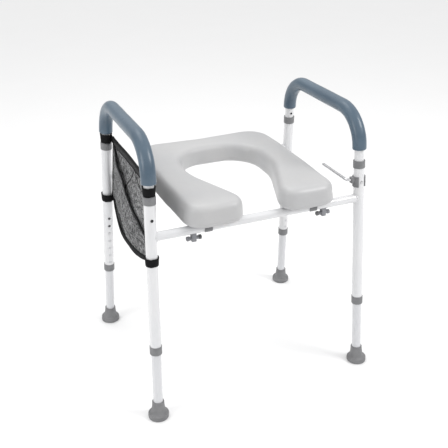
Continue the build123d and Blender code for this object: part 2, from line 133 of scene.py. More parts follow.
# ---- Materials
class Shader:
    """A Principled material with helpers for its node chains, all in object coordinates."""

    def __init__(self, name, **sockets):
        self.mat = bpy.data.materials.new(name)
        self.mat.use_nodes = True
        self.tree = self.mat.node_tree
        self.bsdf = self.tree.nodes["Principled BSDF"]
        for socket, value in sockets.items():
            self.bsdf.inputs[socket.replace("_", " ")].default_value = value
        self.coords = self.add("ShaderNodeTexCoord").outputs["Object"]
        self.last_bump = None

    def add(self, kind, inputs=None, **settings):
        """A new node; its inputs are values or other nodes' sockets."""
        node = self.tree.nodes.new(kind)
        for key, value in settings.items():
            setattr(node, key, value)
        for key, value in (inputs or {}).items():
            if isinstance(value, bpy.types.NodeSocket):
                self.tree.links.new(value, node.inputs[key])
            else:
                node.inputs[key].default_value = value
        return node

    def link(self, a, b):
        self.tree.links.new(a, b)

    def stretched(self, scale):
        """Coordinates scaled unevenly, for marks that run one way."""
        return self.add("ShaderNodeMapping", {"Vector": self.coords, "Scale": scale}).outputs[0]

    def noise(self, scale, detail=3.0, rough=0.55, vector=None, distortion=0.0):
        """Cloudy variation; scale is in features a metre."""
        node = self.add(
            "ShaderNodeTexNoise",
            {
                "Vector": vector or self.coords,
                "Scale": scale,
                "Detail": detail,
                "Roughness": rough,
                "Distortion": distortion,
            },
        )
        return node.outputs["Fac"]

    def cells(self, scale, feature="F1"):
        """Distance from the middle of closely packed cells."""
        node = self.add("ShaderNodeTexVoronoi", {"Vector": self.coords, "Scale": scale}, feature=feature)
        return node.outputs["Distance"]

    def wave(self, pitch, vector, direction):
        """Sine bands one pitch apart; a wave texture of scale 1 has TAU / 20 between bands."""
        node = self.add(
            "ShaderNodeTexWave",
            {"Vector": vector, "Scale": TAU / (pitch * 20), "Distortion": 0.0},
            bands_direction=direction,
        )
        return node.outputs["Fac"]

    def math(self, operation, a, b=0.0):
        node = self.add("ShaderNodeMath", operation=operation)
        for socket, value in zip(node.inputs, (a, b)):
            if isinstance(value, bpy.types.NodeSocket):
                self.link(value, socket)
            else:
                socket.default_value = value
        return node.outputs[0]

    def span(self, value, low, high, out_low, out_high):
        """value from low..high mapped to out_low..out_high, clamped."""
        return self.add(
            "ShaderNodeMapRange",
            {"Value": value, "From Min": low, "From Max": high, "To Min": out_low, "To Max": out_high},
        ).outputs[0]

    def mix(self, factor, a, b):
        """Colour a to b; each is a colour or another node's socket."""
        node = self.add("ShaderNodeMix", data_type="RGBA")
        sockets = [s for s in node.inputs if s.type == "RGBA"]
        self.link(factor, node.inputs["Factor"])
        for socket, value in zip(sockets, (a, b)):
            if isinstance(value, bpy.types.NodeSocket):
                self.link(value, socket)
            else:
                socket.default_value = (*value, 1.0)
        return next(o for o in node.outputs if o.type == "RGBA")

    def colour(self, value):
        self.link(value, self.bsdf.inputs["Base Color"])

    def roughness(self, value):
        self.link(value, self.bsdf.inputs["Roughness"])

    def bump(self, value, strength, distance):
        """Adds relief on top of the relief that is there."""
        inputs = {"Height": value, "Strength": strength, "Distance": distance}
        if self.last_bump:
            inputs["Normal"] = self.last_bump
        self.last_bump = self.add("ShaderNodeBump", inputs).outputs[0]
        self.link(self.last_bump, self.bsdf.inputs["Normal"])


def paint(name, light, dark):
    """Glossy powder coat: faint orange peel, slow colour drift, fine lengthwise scuffs."""
    s = Shader(name, Coat_Weight=0.7, Coat_Roughness=0.05, Coat_IOR=1.6)
    drift = s.noise(7, 2)
    scuff = s.noise(60, 4, 0.7, s.stretched((9, 9, 0.35)))
    marks = s.span(scuff, 0.66, 0.78, 0.0, 0.5)
    base = s.mix(s.span(drift, 0.35, 0.65, 0, 1), light, dark)
    s.colour(s.mix(marks, base, tuple(c * 0.86 for c in dark)))
    s.roughness(s.math("ADD", s.span(s.noise(35, 3), 0.3, 0.7, 0.17, 0.27), s.math("MULTIPLY", marks, 0.2)))
    s.bump(s.noise(420, 2), 0.10, 0.0004)
    return s.mat


def plastic(name, light, dark, rough=(0.4, 0.52), grain=1100.0, depth=0.12):
    """Moulded plastic: spark-eroded grain, slow mottling, dusty patches."""
    s = Shader(name, IOR=1.47)
    s.colour(s.mix(s.span(s.noise(55, 4), 0.35, 0.68, 0, 1), light, dark))
    s.roughness(s.span(s.noise(130, 3), 0.3, 0.7, *rough))
    s.bump(s.noise(grain, 2), depth, 0.0003)
    s.bump(s.noise(90, 2), 0.06, 0.0006)
    return s.mat


def metal(name, colour, dark, rough, stretch=(1, 1, 1)):
    """Bare metal with brushed lines and darker handling marks."""
    s = Shader(name, Metallic=1.0)
    lines = s.noise(900, 3, 0.6, s.stretched(stretch))
    s.colour(s.mix(s.span(s.noise(160, 4), 0.4, 0.7, 0, 1), colour, dark))
    s.roughness(s.span(lines, 0.3, 0.7, *rough))
    s.bump(lines, 0.08, 0.0002)
    return s.mat


def rubber(name, light, dark):
    """Matt rubber with dust in its fine grain."""
    s = Shader(name, IOR=1.5)
    dust = s.noise(38, 5, 0.6)
    s.colour(s.mix(s.span(dust, 0.38, 0.7, 0, 1), dark, light))
    s.roughness(s.span(s.noise(220, 3), 0.3, 0.7, 0.55, 0.72))
    s.bump(s.noise(1300, 2), 0.16, 0.0003)
    s.bump(s.noise(140, 3), 0.08, 0.0007)
    return s.mat


def foam_skin(name):
    """Grip foam: satin skin with closed pores and faint lengthwise streaks from moulding."""
    s = Shader(name, IOR=1.52, Sheen_Weight=0.12, Sheen_Roughness=0.4)
    streak = s.noise(26, 4, 0.6, s.stretched((1, 0.25, 0.6)), 0.4)
    fleck = s.noise(700, 2)
    base = s.mix(s.span(streak, 0.34, 0.68, 0, 1), (0.058, 0.094, 0.132), (0.084, 0.128, 0.172))
    s.colour(s.mix(s.span(fleck, 0.58, 0.75, 0.0, 0.35), base, (0.13, 0.18, 0.225)))
    s.roughness(s.span(s.noise(90, 4), 0.3, 0.7, 0.27, 0.38))
    s.bump(s.cells(1050), 0.10, 0.0003)
    s.bump(s.noise(110, 3), 0.07, 0.0008)
    return s.mat


def seat_skin(name):
    """Self-skinned foam: fine pebble grain, matt rub marks, faint warm and cool drift."""
    s = Shader(name, IOR=1.46, Sheen_Weight=0.08, Sheen_Roughness=0.5)
    drift = s.noise(9, 3)
    pebble = s.cells(640, "SMOOTH_F1")
    base = s.mix(s.span(drift, 0.34, 0.66, 0, 1), (0.455, 0.457, 0.462), (0.490, 0.488, 0.486))
    s.colour(s.mix(s.span(pebble, 0.0, 0.55, 0.0, 0.25), base, (0.40, 0.40, 0.41)))
    s.roughness(s.span(s.noise(42, 4), 0.3, 0.7, 0.30, 0.42))
    s.bump(pebble, 0.14, 0.0003)
    s.bump(s.noise(75, 3), 0.05, 0.0010)
    level = s.add("ShaderNodeSeparateXYZ", {0: s.coords}).outputs["Z"]
    off_line = s.math("ABSOLUTE", s.math("SUBTRACT", level, PARTING_Z))
    s.bump(s.span(off_line, 0.0003, 0.0010, 1.0, 0.0), 0.5, 0.0006)
    return s.mat


NET_PITCH = 0.0022


def net(name, light, dark, open_share):
    """Knitted mesh: crossing threads round small holes, with flecked yarn."""
    s = Shader(name, Specular_IOR_Level=0.3)
    diagonal = (math.radians(45), 0, 0)
    turned = s.add("ShaderNodeMapping", {"Vector": s.coords, "Rotation": diagonal}).outputs[0]
    thread = s.math("MAXIMUM", s.wave(NET_PITCH, turned, "Y"), s.wave(NET_PITCH, turned, "Z"))
    fleck = s.noise(135, 5, 0.86)
    cloud = s.noise(46, 3)
    base = s.mix(s.span(fleck, 0.46, 0.55, 0, 1), dark, light)
    s.colour(s.mix(s.span(cloud, 0.35, 0.7, 0.0, 0.4), base, dark))
    s.roughness(s.span(fleck, 0.3, 0.7, 0.62, 0.82))
    s.bump(thread, 0.6, 0.0006)
    hole = s.span(thread, 0.42, 0.68, open_share, 0.0)
    s.link(s.math("SUBTRACT", 1.0, hole), s.bsdf.inputs["Alpha"])
    return s.mat


def tape(name, colour, worn, rib_pitch=0.0012):
    """Ribbed binding tape; its ribs run across the length, from the UV map."""
    s = Shader(name, Specular_IOR_Level=0.15)
    uv = s.add("ShaderNodeTexCoord").outputs["UV"]
    ribs = s.wave(rib_pitch, uv, "X")
    fuzz = s.noise(800, 3, 0.7)
    s.colour(s.mix(s.span(s.math("MULTIPLY", ribs, fuzz), 0.2, 0.6, 0, 1), colour, worn))
    s.roughness(s.span(fuzz, 0.3, 0.7, 0.62, 0.85))
    s.bump(ribs, 0.45, 0.0004)
    s.bump(fuzz, 0.25, 0.0003)
    return s.mat


def loop_pile(name):
    """Hook-and-loop strap: short tangled loops."""
    s = Shader(name, Specular_IOR_Level=0.15)
    loops = s.noise(620, 4, 0.75, None, 1.2)
    s.colour(s.mix(s.span(loops, 0.4, 0.72, 0, 1), (0.003, 0.003, 0.0035), (0.012, 0.012, 0.013)))
    s.roughness(s.span(loops, 0.3, 0.7, 0.7, 0.92))
    s.bump(loops, 0.7, 0.0007)
    return s.mat


WHITE = paint("tube_paint", (0.705, 0.705, 0.712), (0.67, 0.675, 0.687))
LEG_WHITE = paint("leg_paint", (0.64, 0.645, 0.66), (0.60, 0.607, 0.625))
COLLAR = plastic("collar_plastic", (0.205, 0.207, 0.212), (0.168, 0.170, 0.176))
CLIP = plastic("clip_plastic", (0.205, 0.207, 0.212), (0.165, 0.167, 0.173), (0.42, 0.55))
CLAMP = plastic("clamp_plastic", (0.255, 0.258, 0.275), (0.190, 0.193, 0.210))
BOARD = plastic("board_plastic", (0.42, 0.42, 0.43), (0.36, 0.36, 0.37), (0.5, 0.62), 700.0, 0.2)
FOOT = rubber("foot_rubber", (0.235, 0.236, 0.240), (0.180, 0.181, 0.186))
PAD = rubber("pad_rubber", (0.150, 0.150, 0.156), (0.100, 0.100, 0.105))
BUTTON = metal("button_steel", (0.62, 0.62, 0.63), (0.40, 0.40, 0.42), (0.22, 0.38))
# Near-black plastic: the bag snap's own black, and on the left front handle button a painted shade for the dark
# inside of its hole
BLACK_SNAP_AND_BUTTON_SHADE = plastic("black_snap_and_button_shade", (0.020, 0.020, 0.022), (0.012, 0.012, 0.013))
SPRING = metal("spring_steel", (0.45, 0.46, 0.48), (0.30, 0.30, 0.32), (0.28, 0.42), (1, 1, 0.1))
ROD = metal("rod_steel", (0.70, 0.70, 0.71), (0.52, 0.52, 0.54), (0.14, 0.26), (1, 0.1, 1))
SCREW = metal("screw_steel", (0.55, 0.55, 0.56), (0.35, 0.35, 0.37), (0.25, 0.4))
FOAM = foam_skin("grip_foam")
SKIN = seat_skin("cushion_skin")
MESH_CLOTH = net("bag_mesh", (0.36, 0.362, 0.366), (0.024, 0.025, 0.026), 0.62)
DARK_MESH = net("bag_mesh_double", (0.042, 0.043, 0.045), (0.007, 0.007, 0.008), 0.2)
BINDING = tape("bag_binding", (0.003, 0.003, 0.0035), (0.010, 0.010, 0.011))
STRAP = loop_pile("strap_webbing")
THREAD = tape("stitch_thread", (0.012, 0.012, 0.013), (0.026, 0.026, 0.027), 0.0004)

FINISHES = (
    ("post_", WHITE),
    ("rail_", WHITE),
    # the left front handle button is painted near black as painted shade of its hole; the other buttons are bare
    # steel
    ("handle_button_lf", BLACK_SNAP_AND_BUTTON_SHADE),
    ("handle_button_", BUTTON),
    ("handle_spring_", SPRING),
    ("handle_", WHITE),
    ("upper_collar_", COLLAR),
    ("lower_collar_", COLLAR),
    ("leg_button_", BUTTON),
    ("leg_spring_", SPRING),
    ("leg_", LEG_WHITE),
    ("foot_", FOOT),
    ("grip_", FOAM),
    ("seat_cushion", SKIN),
    ("seat_board", BOARD),
    ("seat_clips", CLIP),
    ("clip_screws", SCREW),
    ("clamp_bracket", CLAMP),
    ("clamp_screw", CLAMP),
    ("clamp_pad", PAD),
    ("holder_clip", CLIP),
    ("holder_rod", ROD),
    ("bag_", MESH_CLOTH),
)
for node_name, node in NODES.items():
    finish = next(mat for prefix, mat in FINISHES if node_name.startswith(prefix))
    node.data.materials.clear()
    node.data.materials.append(finish)


# ---- Mesh helpers
def piece(name, verts, faces, mat, body="frame", uvs=None, closed=True):
    """A smooth-shaded mesh that rides on a body; closed ones get their normals turned outwards."""
    mesh = bpy.data.meshes.new(name)
    mesh.from_pydata([tuple(v) for v in verts], [], faces)
    if uvs is not None:
        layer = mesh.uv_layers.new(name="UVMap")
        for loop in mesh.loops:
            layer.data[loop.index].uv = uvs[loop.vertex_index]
    if closed:
        bm = bmesh.new()
        bm.from_mesh(mesh)
        bmesh.ops.recalc_face_normals(bm, faces=bm.faces)
        bm.to_mesh(mesh)
        bm.free()
    mesh.shade_smooth()
    mesh.materials.append(mat)
    obj = bpy.data.objects.new(name, mesh)
    SCENE.collection.objects.link(obj)
    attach(obj, body)
    return obj


def skin_rings(rings, capped=True, loop=False):
    """Vertices and faces of a surface through closed rings of equal length."""
    count = len(rings[0])
    verts = [p for ring in rings for p in ring]
    faces = []
    pairs = [(i, i + 1) for i in range(len(rings) - 1)] + ([(len(rings) - 1, 0)] if loop else [])
    for a, b in pairs:
        for k in range(count):
            m = (k + 1) % count
            faces.append((a * count + k, a * count + m, b * count + m, b * count + k))
    if capped and not loop:
        faces.append(tuple(range(count))[::-1])
        faces.append(tuple((len(rings) - 1) * count + k for k in range(count)))
    return verts, faces


def lathe(base, across, side, up, profile, segments=72, ripple=None):
    """Rings of a turned shape: profile is (radius, distance along up)."""
    rings = []
    for r, h in profile:
        ring = []
        for k in range(segments):
            a = TAU * k / segments
            rr = r + (ripple(a, r, h) if ripple else 0.0)
            ring.append(base + up * h + across * (rr * math.cos(a)) + side * (rr * math.sin(a)))
        rings.append(ring)
    return rings


def eased(points):
    """Smooth curve through 2-D points, by Catmull-Rom."""
    steps = 8
    pts = [np.array(p, float) for p in points]
    pts = [2 * pts[0] - pts[1], *pts, 2 * pts[-1] - pts[-2]]
    out = []
    for i in range(1, len(pts) - 2):
        p0, p1, p2, p3 = pts[i - 1 : i + 3]
        for k in range(steps):
            t = k / steps
            out.append(
                0.5
                * (
                    2 * p1
                    + (p2 - p0) * t
                    + (2 * p0 - 5 * p1 + 4 * p2 - p3) * t**2
                    + (3 * p1 - p0 - 3 * p2 + p3) * t**3
                )
            )
    out.append(pts[-2])
    return np.array(out)


def run_length(line):
    """Length of a line through points."""
    return np.linalg.norm(np.diff(line, axis=0), axis=1).sum()


def resampled(line, count):
    """The line divided into count even steps by length."""
    gaps = np.linalg.norm(np.diff(line, axis=0), axis=1)
    s = np.concatenate([[0], np.cumsum(gaps)])
    t = np.linspace(0, s[-1], count + 1)
    return np.stack([np.interp(t, s, line[:, k]) for k in range(line.shape[1])], axis=1)


def ribbon(name, centres, normals, width, thick, mat, taper=None):
    """A flat tape along centres, standing off along normals, with rounded edges. Width may vary."""
    count = len(centres)
    section = 14
    rings, uvs, run = [], [], 0.0
    for i, (c, n) in enumerate(zip(centres, normals)):
        along = (centres[min(i + 1, count - 1)] - centres[max(i - 1, 0)]).normalized()
        n = (n - along * n.dot(along)).normalized()
        across = along.cross(n)
        share = taper(i / (count - 1)) if taper else 1.0
        if i:
            run += (c - centres[i - 1]).length
        ring = []
        for k in range(section):
            a = TAU * k / section
            ca, sa = math.cos(a), math.sin(a)
            u = math.copysign(abs(ca) ** 0.28, ca) * width * share / 2
            v = math.copysign(abs(sa) ** 0.75, sa) * thick / 2
            ring.append(c + across * u + n * v)
            uvs.append((run, u))
        rings.append(ring)
    verts, faces = skin_rings(rings)
    return piece(name, verts, faces, mat, uvs=uvs)


def panel(name, point, nu, nv, mat, flip=False):
    """One of the bag's sheets, from point(u, v), made solid to a cloth's thickness."""
    verts = [point(i / nu, j / nv) for i in range(nu + 1) for j in range(nv + 1)]
    faces = []
    for i in range(nu):
        for j in range(nv):
            a = i * (nv + 1) + j
            quad = (a, a + nv + 1, a + nv + 2, a + 1)
            faces.append(quad[::-1] if flip else quad)
    obj = piece(name, verts, faces, mat, closed=False)
    solid = obj.modifiers.new("Solidify", "SOLIDIFY")
    solid.thickness = CLOTH_T
    solid.offset = 0.0
    return obj


# ---- Grips: foam sleeves over the handle tubes
GRIP_STEP = 0.004


def u_path(bottom_z):
    """Centreline of a handle in side-plane coordinates."""
    low, top = height(bottom_z), height(HANDLE_TOP_Z)
    corners = [
        np.array((-side_y(low), low)),
        np.array((-side_y(top), top)),
        np.array((side_y(top), top)),
        np.array((side_y(low), low)),
    ]
    line = [corners[0]]
    for i in (1, 2):
        into = corners[i] - corners[i - 1]
        out = corners[i + 1] - corners[i]
        into, out = into / np.linalg.norm(into), out / np.linalg.norm(out)
        turn = math.acos(np.clip(into @ out, -1, 1))
        cut = HANDLE_BEND_R * math.tan(turn / 2)
        start = corners[i] - into * cut
        inward = np.array((into[1], -into[0]))
        centre = start + inward * HANDLE_BEND_R
        for k in range(25):
            a = turn * k / 24
            line.append(centre - inward * HANDLE_BEND_R * math.cos(a) + into * HANDLE_BEND_R * math.sin(a))
    line.append(corners[3])
    line = np.array(line)
    return resampled(line, int(run_length(line) / GRIP_STEP))


def foam_grip(side, sx):
    """A foam sleeve round a handle, with rounded ends drawn in to the tube."""
    line = u_path(GRIP_BOTTOM_Z)
    segments = 56
    plane_normal = Vector((sx * math.cos(LEAN), 0, math.sin(LEAN)))
    tangents = np.gradient(line, axis=0)
    tangents /= np.linalg.norm(tangents, axis=1)[:, None]
    rings = []

    def ring(point, direction, radius, shift):
        p = point + direction * shift
        centre = side_point(sx, p[0], p[1])
        outwards2 = (-direction[1], direction[0])
        outwards = side_point(sx, p[0] + outwards2[0], p[1] + outwards2[1]) - centre
        points = []
        for k in range(segments):
            a = TAU * k / segments
            way = plane_normal * math.cos(a) + outwards * math.sin(a)
            r = radius
            if radius > GRIP_R - 0.0004:
                place = (centre + way * 0.018) * 21.0
                r += 0.00035 * noise.noise(place) + 0.00012 * noise.noise(place * 4.2)
            points.append(centre + way * r)
        return points

    ends = [(TUBE_R + 0.00005, 0.0035), (TUBE_R + 0.0002, 0.0004), (TUBE_R + 0.0010, 0.0)]
    ends += [(GRIP_R - 0.0030 + 0.0030 * math.sin(a), 0.0030 * (1 - math.cos(a))) for a in np.linspace(0, 1.5, 8)]
    for r, shift in ends:
        rings.append(ring(line[0], tangents[0], r, shift))
    for i in range(1, len(line) - 1):
        rings.append(ring(line[i], tangents[i], GRIP_R, 0.0))
    for r, shift in reversed(ends):
        rings.append(ring(line[-1], tangents[-1], r, -shift))
    verts, faces = skin_rings(rings, capped=False)
    obj = piece(f"grip_sleeve_{side}", verts, faces, FOAM)
    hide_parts(f"grip_{side}")


for side, sx in (("l", -1), ("r", 1)):
    foam_grip(side, sx)


# ---- Feet: moulded rubber tips with a lip, a waist groove, a ringed flange and a grooved sole
FOOT_PROFILE = [
    (12.72, 14.0),
    (12.72, 47.2),
    (13.1, 47.75),
    (14.6, 47.85),
    (15.6, 47.4),
    (16.05, 46.4),
    (16.1, 44.6),
    (15.85, 43.4),
    (15.95, 42.4),
    (16.35, 38.0),
    (17.15, 30.0),
    (18.2, 23.0),
    (19.4, 18.2),
    (20.1, 15.9),
    (20.9, 14.4),
    (22.2, 13.5),
    (23.0, 13.0),
    (23.3, 12.3),
    (23.9, 12.0),
    (24.6, 12.4),
    (25.6, 12.5),
    (26.6, 12.0),
    (27.2, 11.0),
    (27.4, 9.6),
    (27.4, 7.6),
    (26.9, 7.0),
    (26.9, 6.2),
    (27.4, 5.6),
    (27.4, 3.2),
]
SOLE = [(27.1, 1.2), (26.5, 0.25), (25.8, 0.0), (22.6, 0.0), (22.2, 1.4), (20.6, 1.4), (20.2, 0.0), (16.6, 0.0)]
SOLE += [(16.2, 1.4), (14.6, 1.4), (14.2, 0.0), (9.6, 0.0), (9.2, 1.4), (0.4, 1.4)]
FOOT_SIDES = 80
for tag, (sx, sy) in CORNERS.items():
    base, across, side_dir, up = axis_frame(sx, sy, 0.0)
    rings = lathe(base, across, side_dir, up, in_metres(FOOT_PROFILE), FOOT_SIDES)
    turns = [TAU * k / FOOT_SIDES for k in range(FOOT_SIDES)]
    for r, z in in_metres(SOLE):  # the sole lies level on the floor
        rings.append([Vector((base.x + r * math.cos(a), base.y + r * math.sin(a), z)) for a in turns])
    for row in rings:
        for p in row:
            p.z = max(p.z, 0.0)
    verts, faces = skin_rings(rings)
    obj = piece(f"foot_tip_{tag}", verts, faces, FOOT, f"leg_body_{tag}")
    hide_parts(f"foot_{tag}")


# ---- Weld beads where the crossbars meet the posts
for tag, (sx, sy) in CORNERS.items():
    origin, across, side_dir, up = axis_frame(sx, sy, RAIL_Z)
    path = []
    steps = 96
    for k in range(steps):
        a = TAU * k / steps
        y, z = RAIL_R * math.cos(a), RAIL_R * math.sin(a)
        centre = axis_point(sx, sy, RAIL_Z + z)
        gap = sy * HALF_D + y - centre.y
        reach = math.sqrt(max(0.0, POST_R**2 - gap**2))
        path.append(Vector((centre.x - sx * reach, sy * HALF_D + y, RAIL_Z + z)))
    middle = sum(path, Vector()) / steps
    rings = []
    for k, p in enumerate(path):
        along = (path[(k + 1) % steps] - path[k - 1]).normalized()
        out = (p - middle).normalized()
        out = (out - along * out.dot(along)).normalized()
        third = along.cross(out)
        size = 0.0017 * (1 + 0.16 * abs(math.sin(13 * TAU * k / steps)))
        rings.append(
            [p + out * size * math.cos(TAU * m / 12) + third * size * math.sin(TAU * m / 12) for m in range(12)]
        )
    verts, faces = skin_rings(rings, loop=True)
    piece(f"weld_bead_{tag}", verts, faces, WHITE)


# ---- Bowl clamps: fluted knobs on threaded rods, and pads with a ringed face
THREAD_PITCH = 0.003
THREAD_R = 4.72
KNOB = [(0.05, -17.2), (2.4, -17.2), (3.2, -17.6), (3.9, -18.3), (4.7, -18.5), (5.4, -18.3), (5.9, -17.7)]
KNOB += [(5.9, -16.0), (5.9, -14.0), (5.9, -12.0), (5.5, -11.3), (4.9, -11.0)]
KNOB += [(THREAD_R, -11.0 + 0.25 * k) for k in range(98)] + [(3.0, 13.4), (2.9, 17.1), (2.6, 17.3), (0.05, 17.3)]
PAD_PROFILE = [(3.1, 17.6), (3.1, 14.3), (3.3, 14.0), (5.5, 14.0), (5.9, 14.4), (5.9, 15.3), (5.6, 15.7)]
PAD_PROFILE += [(5.6, 16.0), (5.9, 16.4), (5.9, 19.2), (5.6, 20.0), (5.0, 20.45), (4.4, 20.5), (4.1, 20.2)]
PAD_PROFILE += [(3.3, 20.2), (3.0, 20.5), (2.0, 20.5), (1.7, 20.2), (0.05, 20.2)]


def knob_ripple(a, r, h):
    """Ten grip flutes round the knob, and the screw thread along the rod."""
    if r > 0.0052 and h < -0.0112:
        return -0.0006 * max(0.0, math.cos(10 * a)) ** 1.5
    if abs(r - THREAD_R * MM) < 1e-5:
        phase = (h / THREAD_PITCH - a / TAU) % 1.0
        return 0.00022 * (1 - 4 * abs(phase - 0.5))
    return 0.0


for side, sx in (("l", -1), ("r", 1)):
    middle = Vector((sx * CLAMP_X, -HALF_D, CLAMP_Z))
    inwards = Vector((-sx, 0, 0))
    axes = (middle, Vector((0, 1, 0)), Vector((0, 0, 1)), inwards)
    rings = lathe(*axes, in_metres(KNOB), 60, knob_ripple)
    verts, faces = skin_rings(rings)
    knob = piece(f"clamp_knob_{side}", verts, faces, CLAMP, f"clamp_screw_body_{side}")
    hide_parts(f"clamp_screw_{side}")
    rings = lathe(*axes, in_metres(PAD_PROFILE), 60)
    verts, faces = skin_rings(rings)
    pad = piece(f"clamp_cap_{side}", verts, faces, PAD, f"clamp_pad_body_{side}")
    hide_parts(f"clamp_pad_{side}")


# ---- Screws under the seat clips, with cross recesses
CLIP_X = 0.146
SCREW_IN = 0.026
SCREW_HEAD = [(0.05, 0.0)] + [(0.3 * k, 0.02 * k * k / 9) for k in range(1, 9)]
SCREW_HEAD += [(2.9, 0.35), (3.5, 0.7), (3.9, 1.2), (4.0, 1.7), (4.0, 2.2), (2.0, 2.2), (2.0, 11.2)]
SCREW_HEAD += [(1.4, 11.7), (0.05, 11.7)]
UPRIGHT = (Vector((1, 0, 0)), Vector((0, 1, 0)), Vector((0, 0, 1)))
verts, faces = [], []
for sx in (-1, 1):
    for sy in (-1, 1):
        head = Vector((sx * CLIP_X, sy * (HALF_D - SCREW_IN), SEAT_BOTTOM - 0.0052))
        rings = lathe(head, *UPRIGHT, in_metres(SCREW_HEAD), 64)
        for ring, (r, h) in zip(rings, SCREW_HEAD):
            for p in ring:
                away = p - head
                if r < 2.45 and h < 0.5 and min(abs(away.x), abs(away.y)) < 0.00048:
                    p.z += 0.0010 * (1 - r / 4)
        more, sides = skin_rings(rings)
        faces += [tuple(i + len(verts) for i in f) for f in sides]
        verts += more
screws = piece("clip_screw_set", verts, faces, SCREW)
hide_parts("clip_screws")


def leaf_spring(name, node_name, sy):
    """The half of a spring node at one post, bent between its tube and its button."""
    obj = bpy.data.objects.new(name, NODES[node_name].data.copy())
    SCENE.collection.objects.link(obj)
    bm = bmesh.new()
    bm.from_mesh(obj.data)
    bmesh.ops.delete(bm, geom=[v for v in bm.verts if v.co.y * sy < 0], context="VERTS")
    bm.to_mesh(obj.data)
    bm.free()
    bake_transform(obj)
    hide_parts(node_name)


for tag, (sx, sy) in CORNERS.items():
    leaf_spring(f"leg_leaf_{tag}", f"leg_spring_{tag}", sy)
    leaf_spring(f"handle_leaf_{tag}", f"handle_spring_{tag[0]}", sy)


# ---- Seat: the cushion swells softly from its moulded shape
def remeshed(node_name, name, voxel):
    """A closed, even mesh of a CAD node, as a new object."""
    obj = bpy.data.objects.new(name, NODES[node_name].data.copy())
    SCENE.collection.objects.link(obj)
    mod = obj.modifiers.new("Remesh", "REMESH")
    mod.mode = "VOXEL"
    mod.voxel_size = voxel
    graph = bpy.context.evaluated_depsgraph_get()
    mesh = bpy.data.meshes.new_from_object(obj.evaluated_get(graph))
    obj.modifiers.clear()
    obj.data = mesh
    return obj


def coordinates(mesh):
    """The mesh's points as an array."""
    co = np.zeros(len(mesh.vertices) * 3)
    mesh.vertices.foreach_get("co", co)
    return co.reshape(-1, 3)


def relaxed(obj, rounds, strength=0.5):
    """Evens out the voxel steps."""
    bm = bmesh.new()
    bm.from_mesh(obj.data)
    for _ in range(rounds):
        bmesh.ops.smooth_vert(bm, verts=bm.verts, factor=strength, use_axis_x=True, use_axis_y=True, use_axis_z=True)
    bm.to_mesh(obj.data)
    bm.free()


def swollen(obj, pressure, cap):
    """Cloth under inner pressure for 20 frames; returns each point's capped movement."""
    rest = coordinates(obj.data)
    cloth = obj.modifiers.new("Cloth", "CLOTH")
    cloth.settings.quality = 4
    cloth.settings.mass = 0.3
    cloth.settings.use_pressure = True
    cloth.settings.uniform_pressure_force = pressure
    cloth.settings.effector_weights.gravity = 0
    cloth.point_cache.frame_start = 1
    cloth.point_cache.frame_end = 20
    for f in range(1, 21):
        SCENE.frame_set(f)
    graph = bpy.context.evaluated_depsgraph_get()
    mesh = bpy.data.meshes.new_from_object(obj.evaluated_get(graph))
    moved = coordinates(mesh) - rest
    obj.modifiers.clear()
    SCENE.frame_set(1)
    size = np.linalg.norm(moved, axis=1)
    return moved * np.minimum(1.0, cap / np.maximum(size, 1e-9))[:, None]


def evened(mesh, field, rounds):
    """Averages each point's movement with its neighbours', so the moulded foam has no dents."""
    pairs = np.zeros(len(mesh.edges) * 2, dtype=np.int64)
    mesh.edges.foreach_get("vertices", pairs)
    a, b = pairs.reshape(-1, 2).T
    count = np.bincount(pairs, minlength=len(field)).reshape(-1, 1)
    for _ in range(rounds):
        total = np.zeros_like(field)
        np.add.at(total, a, field[b])
        np.add.at(total, b, field[a])
        field = 0.5 * field + 0.5 * total / count
    return field


cushion = remeshed("seat_cushion", "seat_pad", 0.0045)
relaxed(cushion, 14)
rest = coordinates(cushion.data)
# the underside stays flat on the frame; the swell grows over the lower edge
lift = np.clip((rest[:, 2] - SEAT_BOTTOM - 0.004) / 0.022, 0, 1)
lift = (lift * lift * (3 - 2 * lift))[:, None]
normals = np.array([v.normal for v in cushion.data.vertices])
start = rest - normals * 0.0018 * lift
cushion.data.vertices.foreach_set("co", start.ravel())
cushion.data.update()
swell = evened(cushion.data, swollen(cushion, 4.0, 0.0045), 90)
shaped = start + swell * lift
crown = np.clip((rest[:, 2] - 0.565) / 0.017, 0, 1)
shaped[:, 2] += 0.0006 * crown * np.array([noise.noise(Vector(p) * 14.0) for p in rest])
shaped[:, 2] = np.minimum(shaped[:, 2], SEAT_TOP + 0.006)
cushion.data.vertices.foreach_set("co", shaped.ravel())
cushion.data.update()
relaxed(cushion, 2, 0.4)
cushion.data.shade_smooth()
cushion.data.materials.clear()
cushion.data.materials.append(SKIN)
detail = cushion.modifiers.new("Subdivision", "SUBSURF")
detail.levels = detail.render_levels = 1
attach(cushion, "frame")
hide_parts("seat_cushion")


# ---- Bag: back panel, bulging front panel with a slanting rim, gusset, tapes and straps
def bag_line(points, ends_z, reach):
    """A curve across the bag from rear to front, in side-plane coordinates."""
    w0, w1 = height(ends_z[0]), height(ends_z[1])
    middle = [(y, height(z)) for y, z in points]
    return resampled(eased([(reach(w0), w0), *middle, (-reach(w1), w1)]), 80)


def back_reach(w):
    """Half width of the back panel at height w."""
    return side_y(w) + BACK_EDGE


def wall_reach(w):
    """Half width of the front panel at height w: it narrows towards the top straps."""
    return side_y(w) + WALL_EDGE - 0.020 * (w + 0.162) / 0.310


def bulge(y, w):
    """Distance the front panel stands out from the back one."""
    reach = wall_reach(w)
    radius = (reach**2 + BAG_BULGE**2) / (2 * BAG_BULGE)
    y = max(-reach, min(reach, y))
    return max(0.0, math.sqrt(radius**2 - y**2) - (radius - BAG_BULGE))


def back_face(y, w):
    """The back panel hangs in shallow waves and bellies out with the front one at mid height."""
    u = y / HALF_D
    wave = 0.0011 * math.sin(5.1 * u + 9 * w) * (1 - u * u)
    above = w - np.interp(-y, -SAG_LINE[:, 0], SAG_LINE[:, 1])
    belly = 0.6 * smooth((HEM_W_TOP - w - 0.012) / 0.08) * smooth((above - 0.02) / 0.10)
    return BAG_FACE + wave - belly * bulge(y, w)


